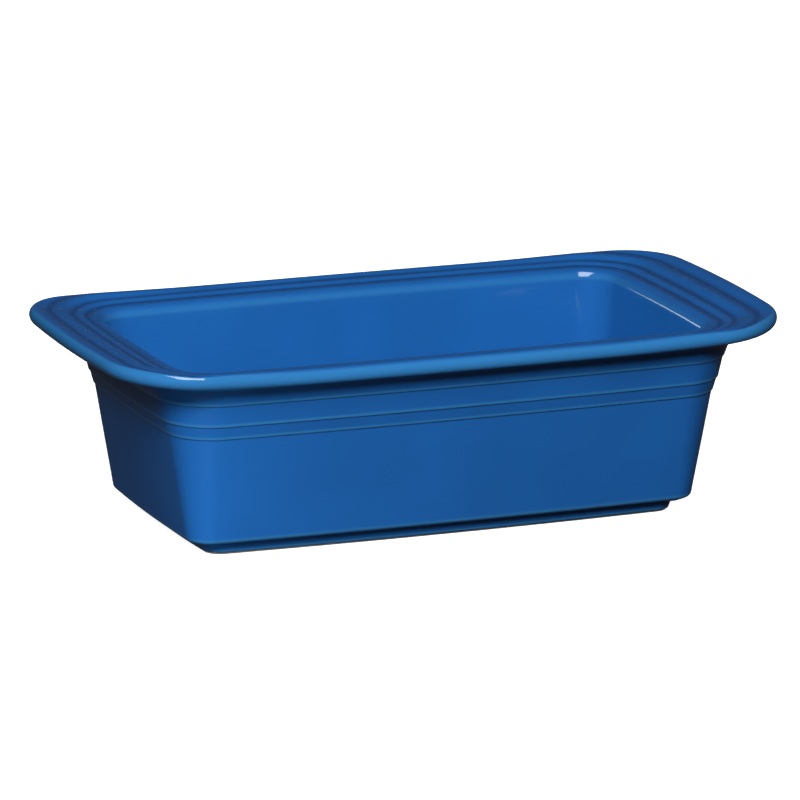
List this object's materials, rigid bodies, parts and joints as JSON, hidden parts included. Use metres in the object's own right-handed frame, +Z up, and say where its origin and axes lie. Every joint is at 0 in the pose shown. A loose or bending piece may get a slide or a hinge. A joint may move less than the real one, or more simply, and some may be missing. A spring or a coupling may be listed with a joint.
{
  "type": "loaf pan",
  "caption": "Rectangular stoneware loaf pan with drafted walls, stepped rings under the rim, wide terraced end flanges and a low foot.",
  "frame": {"origin": "on the table plane, under the middle of the foot ring", "axes": "+X along the length of the pan, from one end flange to the other; +Y across it; +Z up"},
  "size_m": [0.273, 0.146, 0.0782],
  "materials": {
    "bare_stoneware": "matte fired clay",
    "blue_glaze": "glossy lead-free glaze, slightly thinner and lighter on raised edges"
  },
  "bodies": {
    "root": {"stoneware_body": "bare_stoneware", "glaze_coat": "blue_glaze"}
  },
  "joints": []
}
